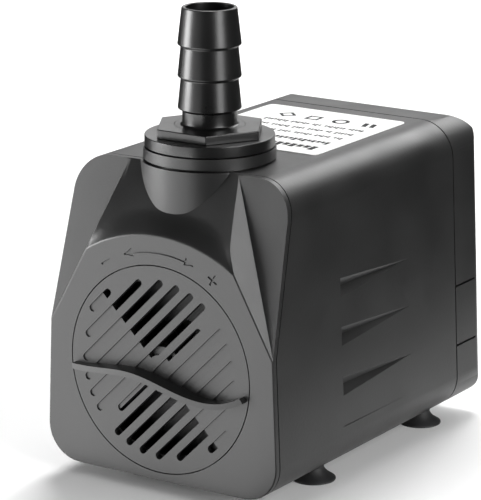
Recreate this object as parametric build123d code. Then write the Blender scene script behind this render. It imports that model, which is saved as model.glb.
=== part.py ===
from build123d import *
import os
from math import cos, hypot, radians, sin, sqrt

# A small fountain pump: a magnetic-drive synchronous motor potted into the rear of a moulded
# housing, a wet rotor and impeller at the front, a turning flow dial in the intake cover and a
# screw-in hose barb on top. All sizes are in millimetres. The working frame has X across the
# pump, Y back from the flat front face and Z up from the underside of the body. Every piece is
# moved at the end so that the origin is the centre of the pump's footprint, on the ground.

# ---- body -------------------------------------------------------------------------------
BODY_WIDTH = 61.2          # across the sides where they would meet the underside
BODY_HEIGHT = 68.8
BODY_LENGTH = 91.5         # flat front face to rear face
SIDE_TAPER = 3.0           # each side leans in by this much from bottom to top
TOP_CORNER = 8.5
BOTTOM_CORNER = 8.0
WALL = 2.6
REAR_COVER_LENGTH = 12.5   # behind the seam
SEAM_GAP = 0.2
REAR_TOP_ROUND = 6.0
REAR_SIDE_ROUND = 3.5
FIT = 0.15                 # clearance between pieces that plug into each other
OVERCUT = 1.0              # how far a cutting shape runs past what it cuts
BULKHEAD_Y = 29.5          # front face of the wall between the wet and the potted ends
BULKHEAD_WALL = 2.5

# ---- flow dial and the flat front face -----------------------------------------------------
DIAL_RADIUS = 23.3
DIAL_MARGIN = 1.9          # face left below the dial
DIAL_THICKNESS = 1.6
DIAL_GAP = 0.25            # round the rim of the dial
DIAL_BACK_GAP = 0.1
DIAL_TRAVEL = 90.0         # degrees between fully open and fully closed
SLOT_PITCH = 3.42
SLOT_WIDTH = 1.7
SLOT_END_INSET = 3.7       # from the rim of the dial to the centre of a slot's end
MIDDLE_SLOT_END = 14.5
SHORT_SLOT = (-4.5, 1.4)   # ends of a short slot, along its length
GROOVE_DEPTH = 0.35
BLADE_THICKNESS = 1.3
BLADE_HEIGHT = 3.9         # in the middle
BLADE_END_HEIGHT = 1.7
BLADE_INSET = 1.0          # from the rim of the dial to the ends of the blade's wave
BLADE_TRIM = 0.4           # from the rim of the dial to where the blade is cut off
PIVOT_RADIUS = 2.6
PIVOT_CLEARANCE = 0.08
CLIP_RADIUS = 3.3
CLIP_LENGTH = 1.6
CLIP_SLIT = 0.8
PIVOT_RING = 1.6           # left round the pivot's clip when the openings are cut
STOP_RADIUS = 0.8
STOP_INSET = 1.9           # from the rim of the dial to the centre of its stop peg
MARK_DEPTH = 0.3
MARK_WIDTH = 0.45
MARK_LENGTH = 2.6
MARK_RISE = 3.1            # from the rim of the dial to the middle of the marks
MARK_ANGLE = 32.0          # of the minus and the plus, either side of the top
ARROW_ANGLE = 20.0         # of the ends of the arrow's shaft, either side of the top
ARROW_LENGTH = 2.3
ARROW_HALF = 0.95

FACE_BAND = 6.75           # flat face above the dial
FACE_ARC = 36.0            # radius of the arched top of the flat face
SHOULDER_RISE = 6.8        # from the dial's centre up to where the face starts to narrow
FACE_TOP_HALF = 19.4       # half the width of the arch at its ends
FACET_SLOPE = 0.267        # how far the upper corners lean back for each mm of height
FLANK_SLOPE = 1.8          # how far the flanks run back for each mm across
RECESS_SLOPE = 0.62
RECESS_SCOOP = 2.3
RECESS_HALF = 15.5
RECESS_RAMP = 4.5
RECESS_LEAD = 1.5          # the recess surface starts this far inside the arch
RECESS_OVERRUN = 6.95      # and runs this far past the top of the body
RECESS_SPREAD = 38         # half its angle about the arch's centre, in degrees
RECESS_RINGS = 12
RECESS_SPOKES = 17

COVER_RIM = 1.4            # thickness of the intake cover at its rim
FLANK_WALL = 2.6           # measured along Y
COVER_GAP = 0.3
LAP_DEPTH = 2.4            # the cover's skirt reaches this far into the housing
LAP_WALL = 1.1
PLATE_WALL = 1.5           # web behind the dial
PLATE_MARGIN = 1.2         # of the web outside the dial's pocket

# ---- outlet ---------------------------------------------------------------------------------
OUTLET_Y = 19.9
THREAD_RADIUS = 12.1       # crest of the nozzle's thread
THREAD_DEPTH = 1.0
THREAD_PITCH = 2.8
THREAD_CLEARANCE = 0.2
TUBE_WALL = 1.5
BULGE_SKIN = 1.1           # intake cover where it wraps round the outlet tube
COLLAR_LIP = 0.8
COLLAR_GAP = 0.4
COLLAR_HEIGHT = 2.4
THROAT_RADIUS = 5.0
TUBE_FLOOR_RISE = 2.9      # from the top of the pump chamber to the floor of the outlet tube
STEM_FLOOR_GAP = 0.6
STEM_LEAD = 1.5            # length of the taper at the foot of the stem
STEM_LEAD_DEPTH = 1.0
THREAD_RUNOUT = 1.2        # plain stem between the flange and the first thread
NOZZLE_BORE = 5.2
FLANGE_OVERHANG = 2.0      # of the flange outside the tube's bore
FLANGE_HEIGHT = 2.45
FLANGE_GAP = 0.2
HEX_RADIUS = 12.76         # across the corners, halved
HEX_HEIGHT = 2.05
HEX_BREAK = 0.5            # height of the bevel on the hexagon's corners
HEX_BREAK_WIDTH = 0.8
NECK_RADIUS = 6.0
NECK_HEIGHT = 3.7
BARB_RADIUS = 7.0
BARB_TOP_RADIUS = 6.3
BARB_PITCH = 7.05
BARB_COUNT = 3
BARB_STEP = 0.45
TIP_LENGTH = 8.1
TIP_RADIUS = 6.05
GASKET_THICKNESS = 1.2
GASKET_WIDTH = 1.05

# ---- pump chamber, rotor and shaft ------------------------------------------------------------
CHAMBER_RADIUS = 19.5
CHAMBER_WALL = 2.0
CHAMBER_FRONT_Y = 11.4
CAP_FLANGE = 1.5
SPIGOT_LENGTH = 2.6
SPIGOT_WIDTH = 2.9
EYE_RADIUS = 9.0           # intake hole of the impeller cover
SPIDER_ARM = 1.8
SPIDER_RISE = 0.6          # of the arms behind the cap's flange
SEAL_RADIUS = 0.72
SEAL_CLEARANCE = 0.05
IMPELLER_RADIUS = 16.0
IMPELLER_LENGTH = 11.0
IMPELLER_GAP = 1.0
VANE_COUNT = 6
VANE_THICKNESS = 1.6
IMPELLER_HUB = 5.2
SHAFT_RADIUS = 1.5
SHAFT_CLEARANCE = 0.05
SLEEVE_RADIUS = 3.0
ROTOR_RADIUS = 10.6
ROTOR_LENGTH = 26.0
ROTOR_START = 4.5          # behind the front face of the bulkhead
ROTOR_CAP = 2.0            # thickness of the sleeve's disc in front of the magnet
WELL_CLEARANCE = 0.7
WELL_WALL = 1.3
WASHER_RADIUS = 2.9
WASHER_THICKNESS = 0.6
WASHER_GAP = 0.15
SEAT_RADIUS = 3.6
SEAT_LENGTH = 4.5
SEAT_FLOOR = 0.6
SEAT_BOSS_WALL = 1.6
SHAFT_BREAK = 0.3          # bevel on the ends of the shaft

# ---- motor --------------------------------------------------------------------------------------
STATOR_GAP = 0.15          # between the rotor well and the pole shoes
STATOR_START = 3.3         # behind the back of the outlet tube
STATOR_STACK = 20.0
POLE_GAP_HALF = 3.5
POLE_WALL = 3.2
SHOE_WALL = 1.0            # of the pole shoes above and below the rotor well
YOKE_HEIGHT = 7.6
YOKE_TOP_GAP = 1.2
COIL_INNER_X = 8.8
COIL_SIDE_GAP = 0.8
COIL_BUILD = 2.6
BOBBIN_WALL = 1.0
BOBBIN_FLANGE = 1.2
BOBBIN_CLEARANCE = 0.2
BOBBIN_FOOT_GAP = 2.2      # above the rotor well
BOBBIN_HEAD_GAP = 0.1      # below the yoke
WINDING_INSET = 0.2        # of the wire inside the bobbin's flanges
PIN_RADIUS = 0.5
PIN_LENGTH = 6.0
PIN_SPACING = 7.0
LINK_RADIUS = 0.8
LINK_REACH = 4.0
LINK_BEND = 2.2
FUSE_RADIUS = 1.7
FUSE_LENGTH = 9.0
FUSE_LEAD_RADIUS = 0.4
FUSE_LEAD = 5.0
FUSE_ROUND = 0.4
POTTING_END_GAP = 7.5      # unfilled space in front of the seam

# ---- rear cover, gland, feet, label and side details -----------------------------------------------
SKIRT_LENGTH = 3.0
SKIRT_WALL = 1.4
LATCH_SLIT = 0.5
LATCH_Z = (15.7, 30.0)
LATCH_LENGTH = 9.0
GLAND_Z = 20.0
GLAND_BORE = 3.1
GLAND_WALL = 1.8
GLAND_FLANGE = 1.6
GLAND_FLANGE_HEIGHT = 1.5
GLAND_ROUND = 0.5
CUP_HEIGHT = 3.5
CUP_RADIUS = 5.0
CUP_RIM = 0.6
CUP_NECK = 2.4
CUP_STEM = 1.9
CUP_HEAD = 2.8
CUP_HEAD_HEIGHT = 1.7
CUP_CLEARANCE = 0.1
CUP_INSET = 8.4            # from the side of the body to the middle of a cup
CUP_FRONT_Y = 28.0
CUP_REAR_INSET = 3.6       # from the seam to the middle of a rear cup
CUP_BOSS_WALL = 1.5
CUP_BOSS_GAP = 0.3         # from a boss to the rear cover's skirt
LABEL_HALF = 18.5
LABEL_FRONT_GAP = 0.1      # behind the outlet tube
LABEL_REAR_INSET = 5.4     # from the seam
LABEL_THICKNESS = 0.15
LABEL_CORNER = 1.6
GILL_FRONT_Y = 28.0
GILL_LENGTH = 30.0
GILL_HEIGHT = 4.9
GILL_DEPTH = 1.6
GILL_Z = (19.2, 30.6, 41.6)
PANEL_Z = (10.0, 48.0)
PANEL_DEPTH = 0.18

# ---- places worked out from the sizes above ----------------------------------------------------------
SEAM_Y = BODY_LENGTH - REAR_COVER_LENGTH
AXIS_Z = DIAL_MARGIN + DIAL_RADIUS                    # dial, shaft and rotor share this height
SHOULDER_Z = AXIS_Z + SHOULDER_RISE
FACE_TOP_Z = AXIS_Z + DIAL_RADIUS + FACE_BAND
ARC_CENTRE_Z = FACE_TOP_Z - FACE_ARC
TUBE_BORE = THREAD_RADIUS + THREAD_CLEARANCE
TUBE_RADIUS = TUBE_BORE + TUBE_WALL
BULGE_INNER = TUBE_RADIUS + COVER_GAP
COLLAR_RADIUS = TUBE_RADIUS + COLLAR_LIP
COLLAR_BOTTOM_Z = BODY_HEIGHT + COLLAR_GAP
COLLAR_TOP_Z = COLLAR_BOTTOM_Z + COLLAR_HEIGHT
FLANGE_Z = COLLAR_TOP_Z + FLANGE_GAP
TUBE_FLOOR_Z = AXIS_Z + CHAMBER_RADIUS + TUBE_FLOOR_RISE
TUBE_FOOT_Z = TUBE_FLOOR_Z - CHAMBER_WALL
STEM_END_Z = TUBE_FLOOR_Z + STEM_FLOOR_GAP
FLANGE_RADIUS = TUBE_BORE + FLANGE_OVERHANG
HEX_Z = FLANGE_Z + FLANGE_HEIGHT
NECK_Z = HEX_Z + HEX_HEIGHT
BARB_Z = NECK_Z + NECK_HEIGHT
TIP_Z = BARB_Z + (BARB_COUNT - 1) * BARB_PITCH + TIP_LENGTH
WELL_RADIUS = ROTOR_RADIUS + WELL_CLEARANCE
WELL_OUTER = WELL_RADIUS + WELL_WALL
BULKHEAD_REAR_Y = BULKHEAD_Y + BULKHEAD_WALL
ROTOR_Y = BULKHEAD_Y + ROTOR_START
ROTOR_END_Y = ROTOR_Y + ROTOR_LENGTH
SEAT_REAR_Y = ROTOR_END_Y + WASHER_THICKNESS + 2 * WASHER_GAP
WELL_END_Y = SEAT_REAR_Y + SEAT_LENGTH
SPIGOT_END_Y = CHAMBER_FRONT_Y + SPIGOT_LENGTH
SEAL_Y = CHAMBER_FRONT_Y + SPIGOT_LENGTH / 2
SLEEVE_FRONT_Y = SPIGOT_END_Y + WASHER_THICKNESS + 2 * WASHER_GAP
SEAT_FRONT_Y = SPIGOT_END_Y - SEAT_LENGTH
IMPELLER_Y = SPIGOT_END_Y + IMPELLER_GAP + WASHER_THICKNESS
STATOR_Y = OUTLET_Y + TUBE_RADIUS + STATOR_START
STATOR_BORE = WELL_OUTER + STATOR_GAP
YOKE_TOP_Z = BODY_HEIGHT - WALL - YOKE_TOP_GAP
YOKE_Z = YOKE_TOP_Z - YOKE_HEIGHT
BOBBIN_Z = AXIS_Z + WELL_OUTER + BOBBIN_FOOT_GAP
BOBBIN_HEIGHT = YOKE_Z - BOBBIN_Z - BOBBIN_HEAD_GAP
POCKET_DEPTH = DIAL_THICKNESS + DIAL_BACK_GAP
PLATE_BACK_Y = POCKET_DEPTH + PLATE_WALL
SLOT_REACH = DIAL_RADIUS - SLOT_END_INSET
SLOT_ROWS = int(SLOT_REACH / SLOT_PITCH - 0.5)        # full slots either side of the middle one
BLADE_REACH = DIAL_RADIUS - BLADE_INSET
MARK_ORBIT = DIAL_RADIUS + MARK_RISE
STOP_ORBIT = DIAL_RADIUS - STOP_INSET
OPENING_RADIUS = STOP_ORBIT - 2 * STOP_RADIUS
CUP_REAR_Y = SEAM_Y - CUP_REAR_INSET
CUP_X = BODY_WIDTH / 2 - CUP_INSET
CUP_BOSS_RADIUS = CUP_HEAD + CUP_CLEARANCE + CUP_BOSS_WALL
CUP_BOSS_TOP = WALL + CUP_HEAD_HEIGHT + CUP_BOSS_WALL
LABEL_FRONT_Y = OUTLET_Y + TUBE_RADIUS + LABEL_FRONT_GAP
GLAND_NECK = GLAND_BORE + GLAND_WALL
FAR = 200.0                # larger than the pump, for cutting blocks

# the grip's wave across the dial, as X and the height from the dial's centre
BLADE_WAVE = [(-BLADE_REACH, -2.3), (-14.0, -1.6), (-5.0, -1.1),
              (4.0, -3.0), (13.0, -4.8), (BLADE_REACH, -2.6)]


def half_width(z):
    """Half the width of the body at height z."""
    return BODY_WIDTH / 2 - SIDE_TAPER * z / BODY_HEIGHT


def along_y(sketch, start, end):
    """A sketch drawn as X across and Z up, extruded along Y from start to end."""
    return Pos(0, start, 0) * extrude(Plane.XZ * sketch, amount=start - end)


def disc(radius, start, end, x=0.0, z=AXIS_Z):
    """A cylinder that lies along Y."""
    return along_y(Pos(x, z) * Circle(radius), start, end)


def post(radius, bottom, top, x=0.0, y=OUTLET_Y):
    """A cylinder that stands along Z."""
    return Pos(x, y, bottom) * Cylinder(radius, top - bottom, align=(Align.CENTER, Align.CENTER, Align.MIN))


def block(x_range, y_range, z_range):
    """A box given by its lowest and highest corners."""
    size = [b - a for a, b in (x_range, y_range, z_range)]
    return Pos(x_range[0], y_range[0], z_range[0]) * Box(*size, align=(Align.MIN, Align.MIN, Align.MIN))


def turned(points, x=0.0, y=OUTLET_Y):
    """A closed (radius, height) outline turned about a vertical axis."""
    outline = make_face(Polyline(*[(r, 0, z) for r, z in points], close=True))
    return Pos(x, y, 0) * revolve(outline, Axis.Z)


def body_section(inset, start, end):
    """The body's leaning, round-cornered section, drawn in by inset all round."""
    low = inset
    high = BODY_HEIGHT - inset
    wide = half_width(low) - inset
    narrow = half_width(high) - inset
    sketch = Polygon((-wide, low), (wide, low), (narrow, high), (-narrow, high), align=None)
    sketch = fillet(sketch.vertices().group_by(Axis.Y)[0], BOTTOM_CORNER - inset)
    sketch = fillet(sketch.vertices().group_by(Axis.Y)[-1], TOP_CORNER - inset)
    return along_y(sketch, start, end)


def behind(point, normal):
    """The half space that starts at a plane and goes the way its normal points."""
    return Plane(origin=point, z_dir=normal) * Box(
        2 * FAR, 2 * FAR, FAR, align=(Align.CENTER, Align.CENTER, Align.MIN))


def recess_depth(x, z):
    """How far back the scooped recess lies at one place; negative inside the flat face."""
    q = hypot(x, z - ARC_CENTRE_Z) - FACE_ARC
    ramp = min(max(q / RECESS_RAMP, 0.0), 1.0)
    scoop = RECESS_SCOOP * ramp * ramp * (3 - 2 * ramp)
    return RECESS_SLOPE * q + scoop * (1 - (x / RECESS_HALF) ** 2)


def recess_cutter():
    """Everything in front of the scooped recess above the arch of the flat face."""
    first = FACE_ARC - RECESS_LEAD
    last = BODY_HEIGHT - ARC_CENTRE_Z + RECESS_OVERRUN
    rows = []
    for spoke in range(RECESS_SPOKES):
        angle = radians(90 + RECESS_SPREAD - spoke * 2 * RECESS_SPREAD / (RECESS_SPOKES - 1))
        row = []
        for ring in range(RECESS_RINGS):
            rho = first + ring * (last - first) / (RECESS_RINGS - 1)
            x = rho * cos(angle)
            z = ARC_CENTRE_Z + rho * sin(angle)
            row.append(Vector(x, recess_depth(x, z), z))
        rows.append(row)
    surface = Face.make_surface_from_array_of_points(rows, tol=0.01, min_deg=3, max_deg=5)
    return extrude(surface, amount=FAR / 2, dir=(0, -1, 0))


RECESS = recess_cutter()


def behind_front(shift, flank_shift, bulge_radius):
    """Everything behind the sculpted front: flat face, upper facets, flanks, recess and bulge."""
    shoulder = half_width(SHOULDER_Z)
    arch_end_z = ARC_CENTRE_Z + sqrt(FACE_ARC ** 2 - FACE_TOP_HALF ** 2)
    flank_rise = FLANK_SLOPE * (shoulder - FACE_TOP_HALF) / (arch_end_z - SHOULDER_Z)
    facet = behind((0, shift, SHOULDER_Z), (0, 1, -FACET_SLOPE))
    right = behind((shoulder, flank_shift, SHOULDER_Z), (-FLANK_SLOPE, 1, -flank_rise))
    left = behind((-shoulder, flank_shift, SHOULDER_Z), (FLANK_SLOPE, 1, -flank_rise))
    front = block((-FAR / 2, FAR / 2), (shift, FAR / 2), (-OVERCUT, FAR / 2))
    shape = front & ((right & left) + facet)
    shape -= Pos(0, shift, 0) * RECESS
    return shape + post(bulge_radius, AXIS_Z, BODY_HEIGHT + OVERCUT)


COVER_FRONT = behind_front(0, 0, BULGE_INNER + BULGE_SKIN)
COVER_BACK = behind_front(COVER_RIM, FLANK_WALL, BULGE_INNER)
HOUSING_FRONT = behind_front(COVER_RIM + COVER_GAP, FLANK_WALL + COVER_GAP, TUBE_BORE)
LAP_BACK = Pos(0, LAP_DEPTH, 0) * HOUSING_FRONT


def gill(side, z):
    """One wedge-shaped cut in a side wall: deepest at its front edge, running out to a point."""
    wall_x = half_width(z)
    deep = Vector(wall_x - GILL_DEPTH, GILL_FRONT_Y, z)
    upper = Vector(half_width(z + GILL_HEIGHT / 2), GILL_FRONT_Y, z + GILL_HEIGHT / 2)
    lower = Vector(half_width(z - GILL_HEIGHT / 2), GILL_FRONT_Y, z - GILL_HEIGHT / 2)
    tip = Vector(wall_x, GILL_FRONT_Y + GILL_LENGTH, z)
    corners = [deep] + [deep + (corner - deep) * 1.4 for corner in (upper, lower, tip)]
    faces = [Face(Wire.make_polygon([corners[i] for i in trio], close=True))
             for trio in ((0, 1, 2), (0, 2, 3), (0, 3, 1), (1, 3, 2))]
    wedge = Solid(Shell(faces))
    return wedge if side > 0 else mirror(wedge, Plane.YZ)


def side_panel(side):
    """The shallow wedge that the gills are cut into: a faint step at its front edge."""
    low, high = PANEL_Z
    start = Vector(half_width(low), GILL_FRONT_Y, low)
    rear = GILL_FRONT_Y + GILL_LENGTH
    outline = Polygon((half_width(low) - PANEL_DEPTH, GILL_FRONT_Y), (half_width(low) + 4, GILL_FRONT_Y),
                      (half_width(low) + 4, rear), (half_width(low), rear), align=None)
    wedge = Pos(0, 0, low) * extrude(outline, amount=high - low, taper=0)
    lean = degrees_of(SIDE_TAPER / BODY_HEIGHT)
    wedge = wedge.rotate(Axis((start.X, start.Y, low), (0, 1, 0)), -lean)
    return wedge if side > 0 else mirror(wedge, Plane.YZ)


def degrees_of(slope):
    """The angle of a small slope, in degrees."""
    return Vector(1, slope, 0).get_angle(Vector(1, 0, 0))


def cup_places():
    """Name and centre of each suction cup."""
    return {
        "suction_cup_front_left": (-CUP_X, CUP_FRONT_Y),
        "suction_cup_front_right": (CUP_X, CUP_FRONT_Y),
        "suction_cup_rear_left": (-CUP_X, CUP_REAR_Y),
        "suction_cup_rear_right": (CUP_X, CUP_REAR_Y),
    }


def motor_housing():
    """The main moulding: outer shell, bulkhead, rotor well, pump chamber and outlet tube."""
    rear_y = SEAM_Y - SEAM_GAP
    outer = body_section(0, 0, rear_y)
    shell = outer - body_section(WALL, -OVERCUT, rear_y + OVERCUT)
    inside = body_section(WALL, 0, rear_y)
    bulkhead = body_section(WALL, BULKHEAD_Y, BULKHEAD_REAR_Y)
    well = disc(WELL_OUTER, BULKHEAD_Y, WELL_END_Y + WELL_WALL)
    chamber = disc(CHAMBER_RADIUS + CHAMBER_WALL, CHAMBER_FRONT_Y, BULKHEAD_Y)
    tube = post(TUBE_RADIUS, TUBE_FOOT_Z, BODY_HEIGHT - WALL / 2)
    bosses = [post(CUP_BOSS_RADIUS, WALL / 2, CUP_BOSS_TOP, x, y) for x, y in cup_places().values()]
    inner = (bulkhead + well + chamber + tube + bosses) & inside
    housing = (shell + inner) & HOUSING_FRONT
    lap = (body_section(LAP_WALL, -OVERCUT, BULKHEAD_Y) & HOUSING_FRONT) - LAP_BACK
    housing -= lap - post(TUBE_RADIUS, AXIS_Z, BODY_HEIGHT + OVERCUT)
    housing += post(TUBE_RADIUS, TUBE_FOOT_Z, COLLAR_TOP_Z)
    housing += post(COLLAR_RADIUS, COLLAR_BOTTOM_Z, COLLAR_TOP_Z)
    housing -= post(TUBE_BORE, TUBE_FLOOR_Z, COLLAR_TOP_Z + OVERCUT)
    gasket_floor_z = COLLAR_TOP_Z - GASKET_THICKNESS + FLANGE_GAP
    housing -= post(TUBE_BORE + GASKET_WIDTH + FIT, gasket_floor_z, COLLAR_TOP_Z + OVERCUT)
    housing -= disc(CHAMBER_RADIUS, CHAMBER_FRONT_Y - OVERCUT, BULKHEAD_Y)
    housing -= post(THROAT_RADIUS, AXIS_Z + CHAMBER_RADIUS / 2, TUBE_FLOOR_Z + OVERCUT)
    housing -= disc(WELL_RADIUS, BULKHEAD_Y - OVERCUT, WELL_END_Y)
    boss = disc(SEAT_RADIUS + SEAT_BOSS_WALL, SEAT_REAR_Y, WELL_END_Y)
    housing += boss - disc(SEAT_RADIUS, SEAT_REAR_Y, WELL_END_Y)
    for x, y in cup_places().values():
        housing -= post(CUP_STEM + CUP_CLEARANCE, -OVERCUT, WALL + CUP_CLEARANCE, x, y)
        housing -= post(CUP_HEAD + CUP_CLEARANCE, WALL, WALL + CUP_HEAD_HEIGHT + CUP_CLEARANCE, x, y)
    for side in (-1, 1):
        housing -= side_panel(side)
        for z in GILL_Z:
            housing -= gill(side, z)
    return housing


def intake_cover():
    """The sculpted front cover, with the dial's pocket and the two openings behind the dial."""
    cover = (body_section(0, 0, BULKHEAD_Y) & COVER_FRONT) - COVER_BACK
    inside_lap = body_section(LAP_WALL + FIT, 0, BULKHEAD_Y)
    skirt = inside_lap - body_section(WALL, -OVERCUT, BULKHEAD_Y + OVERCUT)
    skirt = (skirt & COVER_BACK) - (Pos(0, LAP_DEPTH, 0) * COVER_BACK)
    skirt -= post(BULGE_INNER, AXIS_Z, BODY_HEIGHT + OVERCUT)
    cover += skirt
    plate = disc(DIAL_RADIUS + DIAL_GAP + PLATE_MARGIN, COVER_RIM / 2, PLATE_BACK_Y)
    cover += plate & inside_lap
    cover -= disc(DIAL_RADIUS + DIAL_GAP, -OVERCUT, POCKET_DEPTH)
    cover -= disc(PIVOT_RADIUS + PIVOT_CLEARANCE, -OVERCUT, PLATE_BACK_Y + OVERCUT)
    cover -= intake_openings()
    cover -= stop_slot()
    cover -= face_marks()
    return cover


def quadrant(radius, low_angle):
    """A quarter disc about the dial's centre, as a sketch."""
    corner = [(0, 0)] + [(1.5 * radius * cos(radians(a)), 1.5 * radius * sin(radians(a)))
                         for a in (low_angle, low_angle + 45, low_angle + 90)]
    return Circle(radius) & Polygon(*corner, align=None)


def intake_openings():
    """Two opposite quarters of the web behind the dial, left open round the pivot."""
    sketch = quadrant(OPENING_RADIUS, 45) + quadrant(OPENING_RADIUS, 225)
    sketch -= Circle(CLIP_RADIUS + PIVOT_RING)
    return along_y(Pos(0, AXIS_Z) * sketch, POCKET_DEPTH - FIT, PLATE_BACK_Y + FIT)


def on_circle(radius, angle, z=AXIS_Z):
    """A point on a circle about the dial's centre, as X and Z."""
    return radius * cos(radians(angle)), z + radius * sin(radians(angle))


def stop_slot():
    """The curved slot that the dial's stop peg runs in."""
    half = STOP_RADIUS + FIT
    ring = Circle(STOP_ORBIT + half) - Circle(STOP_ORBIT - half)
    ends = (90 - DIAL_TRAVEL / 2, 90 + DIAL_TRAVEL / 2)
    fan = [on_circle(2 * DIAL_RADIUS, angle, 0) for angle in (ends[0], 90, ends[1])]
    sketch = ring & Polygon((0, 0), *fan, align=None)
    for angle in ends:
        sketch += Pos(*on_circle(STOP_ORBIT, angle, 0)) * Circle(half)
    return along_y(Pos(0, AXIS_Z) * sketch, POCKET_DEPTH - FIT, PLATE_BACK_Y + FIT)


def face_marks():
    """A minus, a plus and a two-headed arrow sunk into the face above the dial."""
    minus = Rectangle(MARK_LENGTH, MARK_WIDTH)
    plus = minus + Rot(0, 0, 90) * minus
    sketch = Pos(*on_circle(MARK_ORBIT, 90 + MARK_ANGLE)) * Rot(0, 0, MARK_ANGLE) * minus
    sketch += Pos(*on_circle(MARK_ORBIT, 90 - MARK_ANGLE)) * Rot(0, 0, -MARK_ANGLE) * plus
    arrow = Circle(MARK_ORBIT + MARK_WIDTH / 2) - Circle(MARK_ORBIT - MARK_WIDTH / 2)
    fan = [on_circle(2 * DIAL_RADIUS, 90 + side * ARROW_ANGLE, 0) for side in (1, -1)]
    sketch += Pos(0, AXIS_Z) * (arrow & Polygon((0, 0), *fan, align=None))
    head = Polygon((0, 0), (-ARROW_LENGTH, ARROW_HALF), (-ARROW_LENGTH, -ARROW_HALF), align=None)
    for side, turn in ((1, -ARROW_ANGLE), (-1, 180 + ARROW_ANGLE)):
        sketch += Pos(*on_circle(MARK_ORBIT, 90 - side * ARROW_ANGLE)) * Rot(0, 0, turn) * head
    return along_y(sketch, -OVERCUT, MARK_DEPTH)


def slot_rows():
    """Distance across the dial and the two end positions of every slot."""
    rows = []
    for index in range(-SLOT_ROWS, SLOT_ROWS + 1):
        across = index * SLOT_PITCH
        end = sqrt(SLOT_REACH ** 2 - across ** 2) if index else MIDDLE_SLOT_END
        rows.append((across, -end, end))
    outer = (SLOT_ROWS + 1) * SLOT_PITCH
    rows.append((outer, SHORT_SLOT[0], SHORT_SLOT[1]))
    rows.append((-outer, -SHORT_SLOT[1], -SHORT_SLOT[0]))
    return rows


def slot_sketch():
    """All the dial's slots, along the 45 degree diagonal, about the dial's centre."""
    sketch = Sketch()
    for across, start, end in slot_rows():
        sketch += Pos((start + end) / 2, across) * SlotCenterToCenter(end - start, SLOT_WIDTH)
    return Rot(0, 0, 45) * sketch


def grip_blade():
    """The wavy finger grip that stands across the dial, lower towards its ends."""
    ribbon = trace(Spline([(x, z + AXIS_Z) for x, z in BLADE_WAVE]), BLADE_THICKNESS)
    blade = along_y(ribbon, -BLADE_HEIGHT, DIAL_THICKNESS / 2)
    sag = BLADE_HEIGHT - BLADE_END_HEIGHT
    crown = (BLADE_REACH ** 2 + sag ** 2) / (2 * sag)
    limit = post(crown, 0, FAR / 2, 0, crown - BLADE_HEIGHT)
    return blade & limit & disc(DIAL_RADIUS - BLADE_TRIM, -BLADE_HEIGHT, DIAL_THICKNESS)


def flow_dial():
    """The slotted dial: open slots in two quarters, shallow grooves in the other two."""
    dial = disc(DIAL_RADIUS, 0, DIAL_THICKNESS)
    slots = slot_sketch()
    open_quarters = quadrant(DIAL_RADIUS, 45) + quadrant(DIAL_RADIUS, 225)
    through = (slots & open_quarters) - Circle(CLIP_RADIUS)
    dial -= along_y(Pos(0, AXIS_Z) * through, -OVERCUT, DIAL_THICKNESS + OVERCUT)
    dial -= along_y(Pos(0, AXIS_Z) * slots, -OVERCUT, GROOVE_DEPTH)
    dial += grip_blade()
    clip_y = PLATE_BACK_Y + DIAL_BACK_GAP
    dial += disc(PIVOT_RADIUS, DIAL_THICKNESS, clip_y)
    head = disc(CLIP_RADIUS, clip_y, clip_y + CLIP_LENGTH)
    head = chamfer(head.edges().group_by(Axis.Y)[-1], CLIP_LENGTH / 2)
    dial += head
    clip_z = (AXIS_Z - CLIP_RADIUS, AXIS_Z + CLIP_RADIUS)
    dial -= block((-CLIP_SLIT / 2, CLIP_SLIT / 2), (POCKET_DEPTH, FAR), clip_z)
    x, z = on_circle(STOP_ORBIT, 90 - DIAL_TRAVEL / 2)
    return dial + disc(STOP_RADIUS, DIAL_THICKNESS / 2, PLATE_BACK_Y, x, z)


def impeller_cover():
    """The front wall of the pump chamber, with the intake eye and the front shaft support."""
    cap = disc(CHAMBER_RADIUS + CHAMBER_WALL, CHAMBER_FRONT_Y - CAP_FLANGE, CHAMBER_FRONT_Y)
    cap += disc(CHAMBER_RADIUS - FIT, CHAMBER_FRONT_Y, SPIGOT_END_Y)
    cap -= disc(CHAMBER_RADIUS - FIT - SPIGOT_WIDTH, CHAMBER_FRONT_Y, SPIGOT_END_Y + OVERCUT)
    cap -= disc(EYE_RADIUS, 0, SPIGOT_END_Y + OVERCUT)
    arms = Sketch()
    for step in range(3):
        arms += Rot(0, 0, 60 * step) * Rectangle(2 * EYE_RADIUS + OVERCUT, SPIDER_ARM)
    cap += along_y(Pos(0, AXIS_Z) * arms, CHAMBER_FRONT_Y - CAP_FLANGE, CHAMBER_FRONT_Y + SPIDER_RISE)
    cap += disc(SEAT_RADIUS + SEAT_BOSS_WALL, SEAT_FRONT_Y, SPIGOT_END_Y)
    cap -= disc(SEAT_RADIUS, SEAT_FRONT_Y - OVERCUT, SPIGOT_END_Y + OVERCUT)
    cap -= post(TUBE_RADIUS + FIT, TUBE_FOOT_Z - FIT, BODY_HEIGHT)
    groove = disc(CHAMBER_RADIUS, SEAL_Y - SEAL_RADIUS, SEAL_Y + SEAL_RADIUS)
    return cap - (groove - disc(CHAMBER_RADIUS - 2 * SEAL_RADIUS - SEAL_CLEARANCE, 0, BULKHEAD_Y))


def chamber_seal():
    """The O-ring round the impeller cover's spigot."""
    ring = Torus(CHAMBER_RADIUS - SEAL_RADIUS - SEAL_CLEARANCE / 2, SEAL_RADIUS)
    return Pos(0, SEAL_Y, AXIS_Z) * Rot(90, 0, 0) * ring


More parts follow.
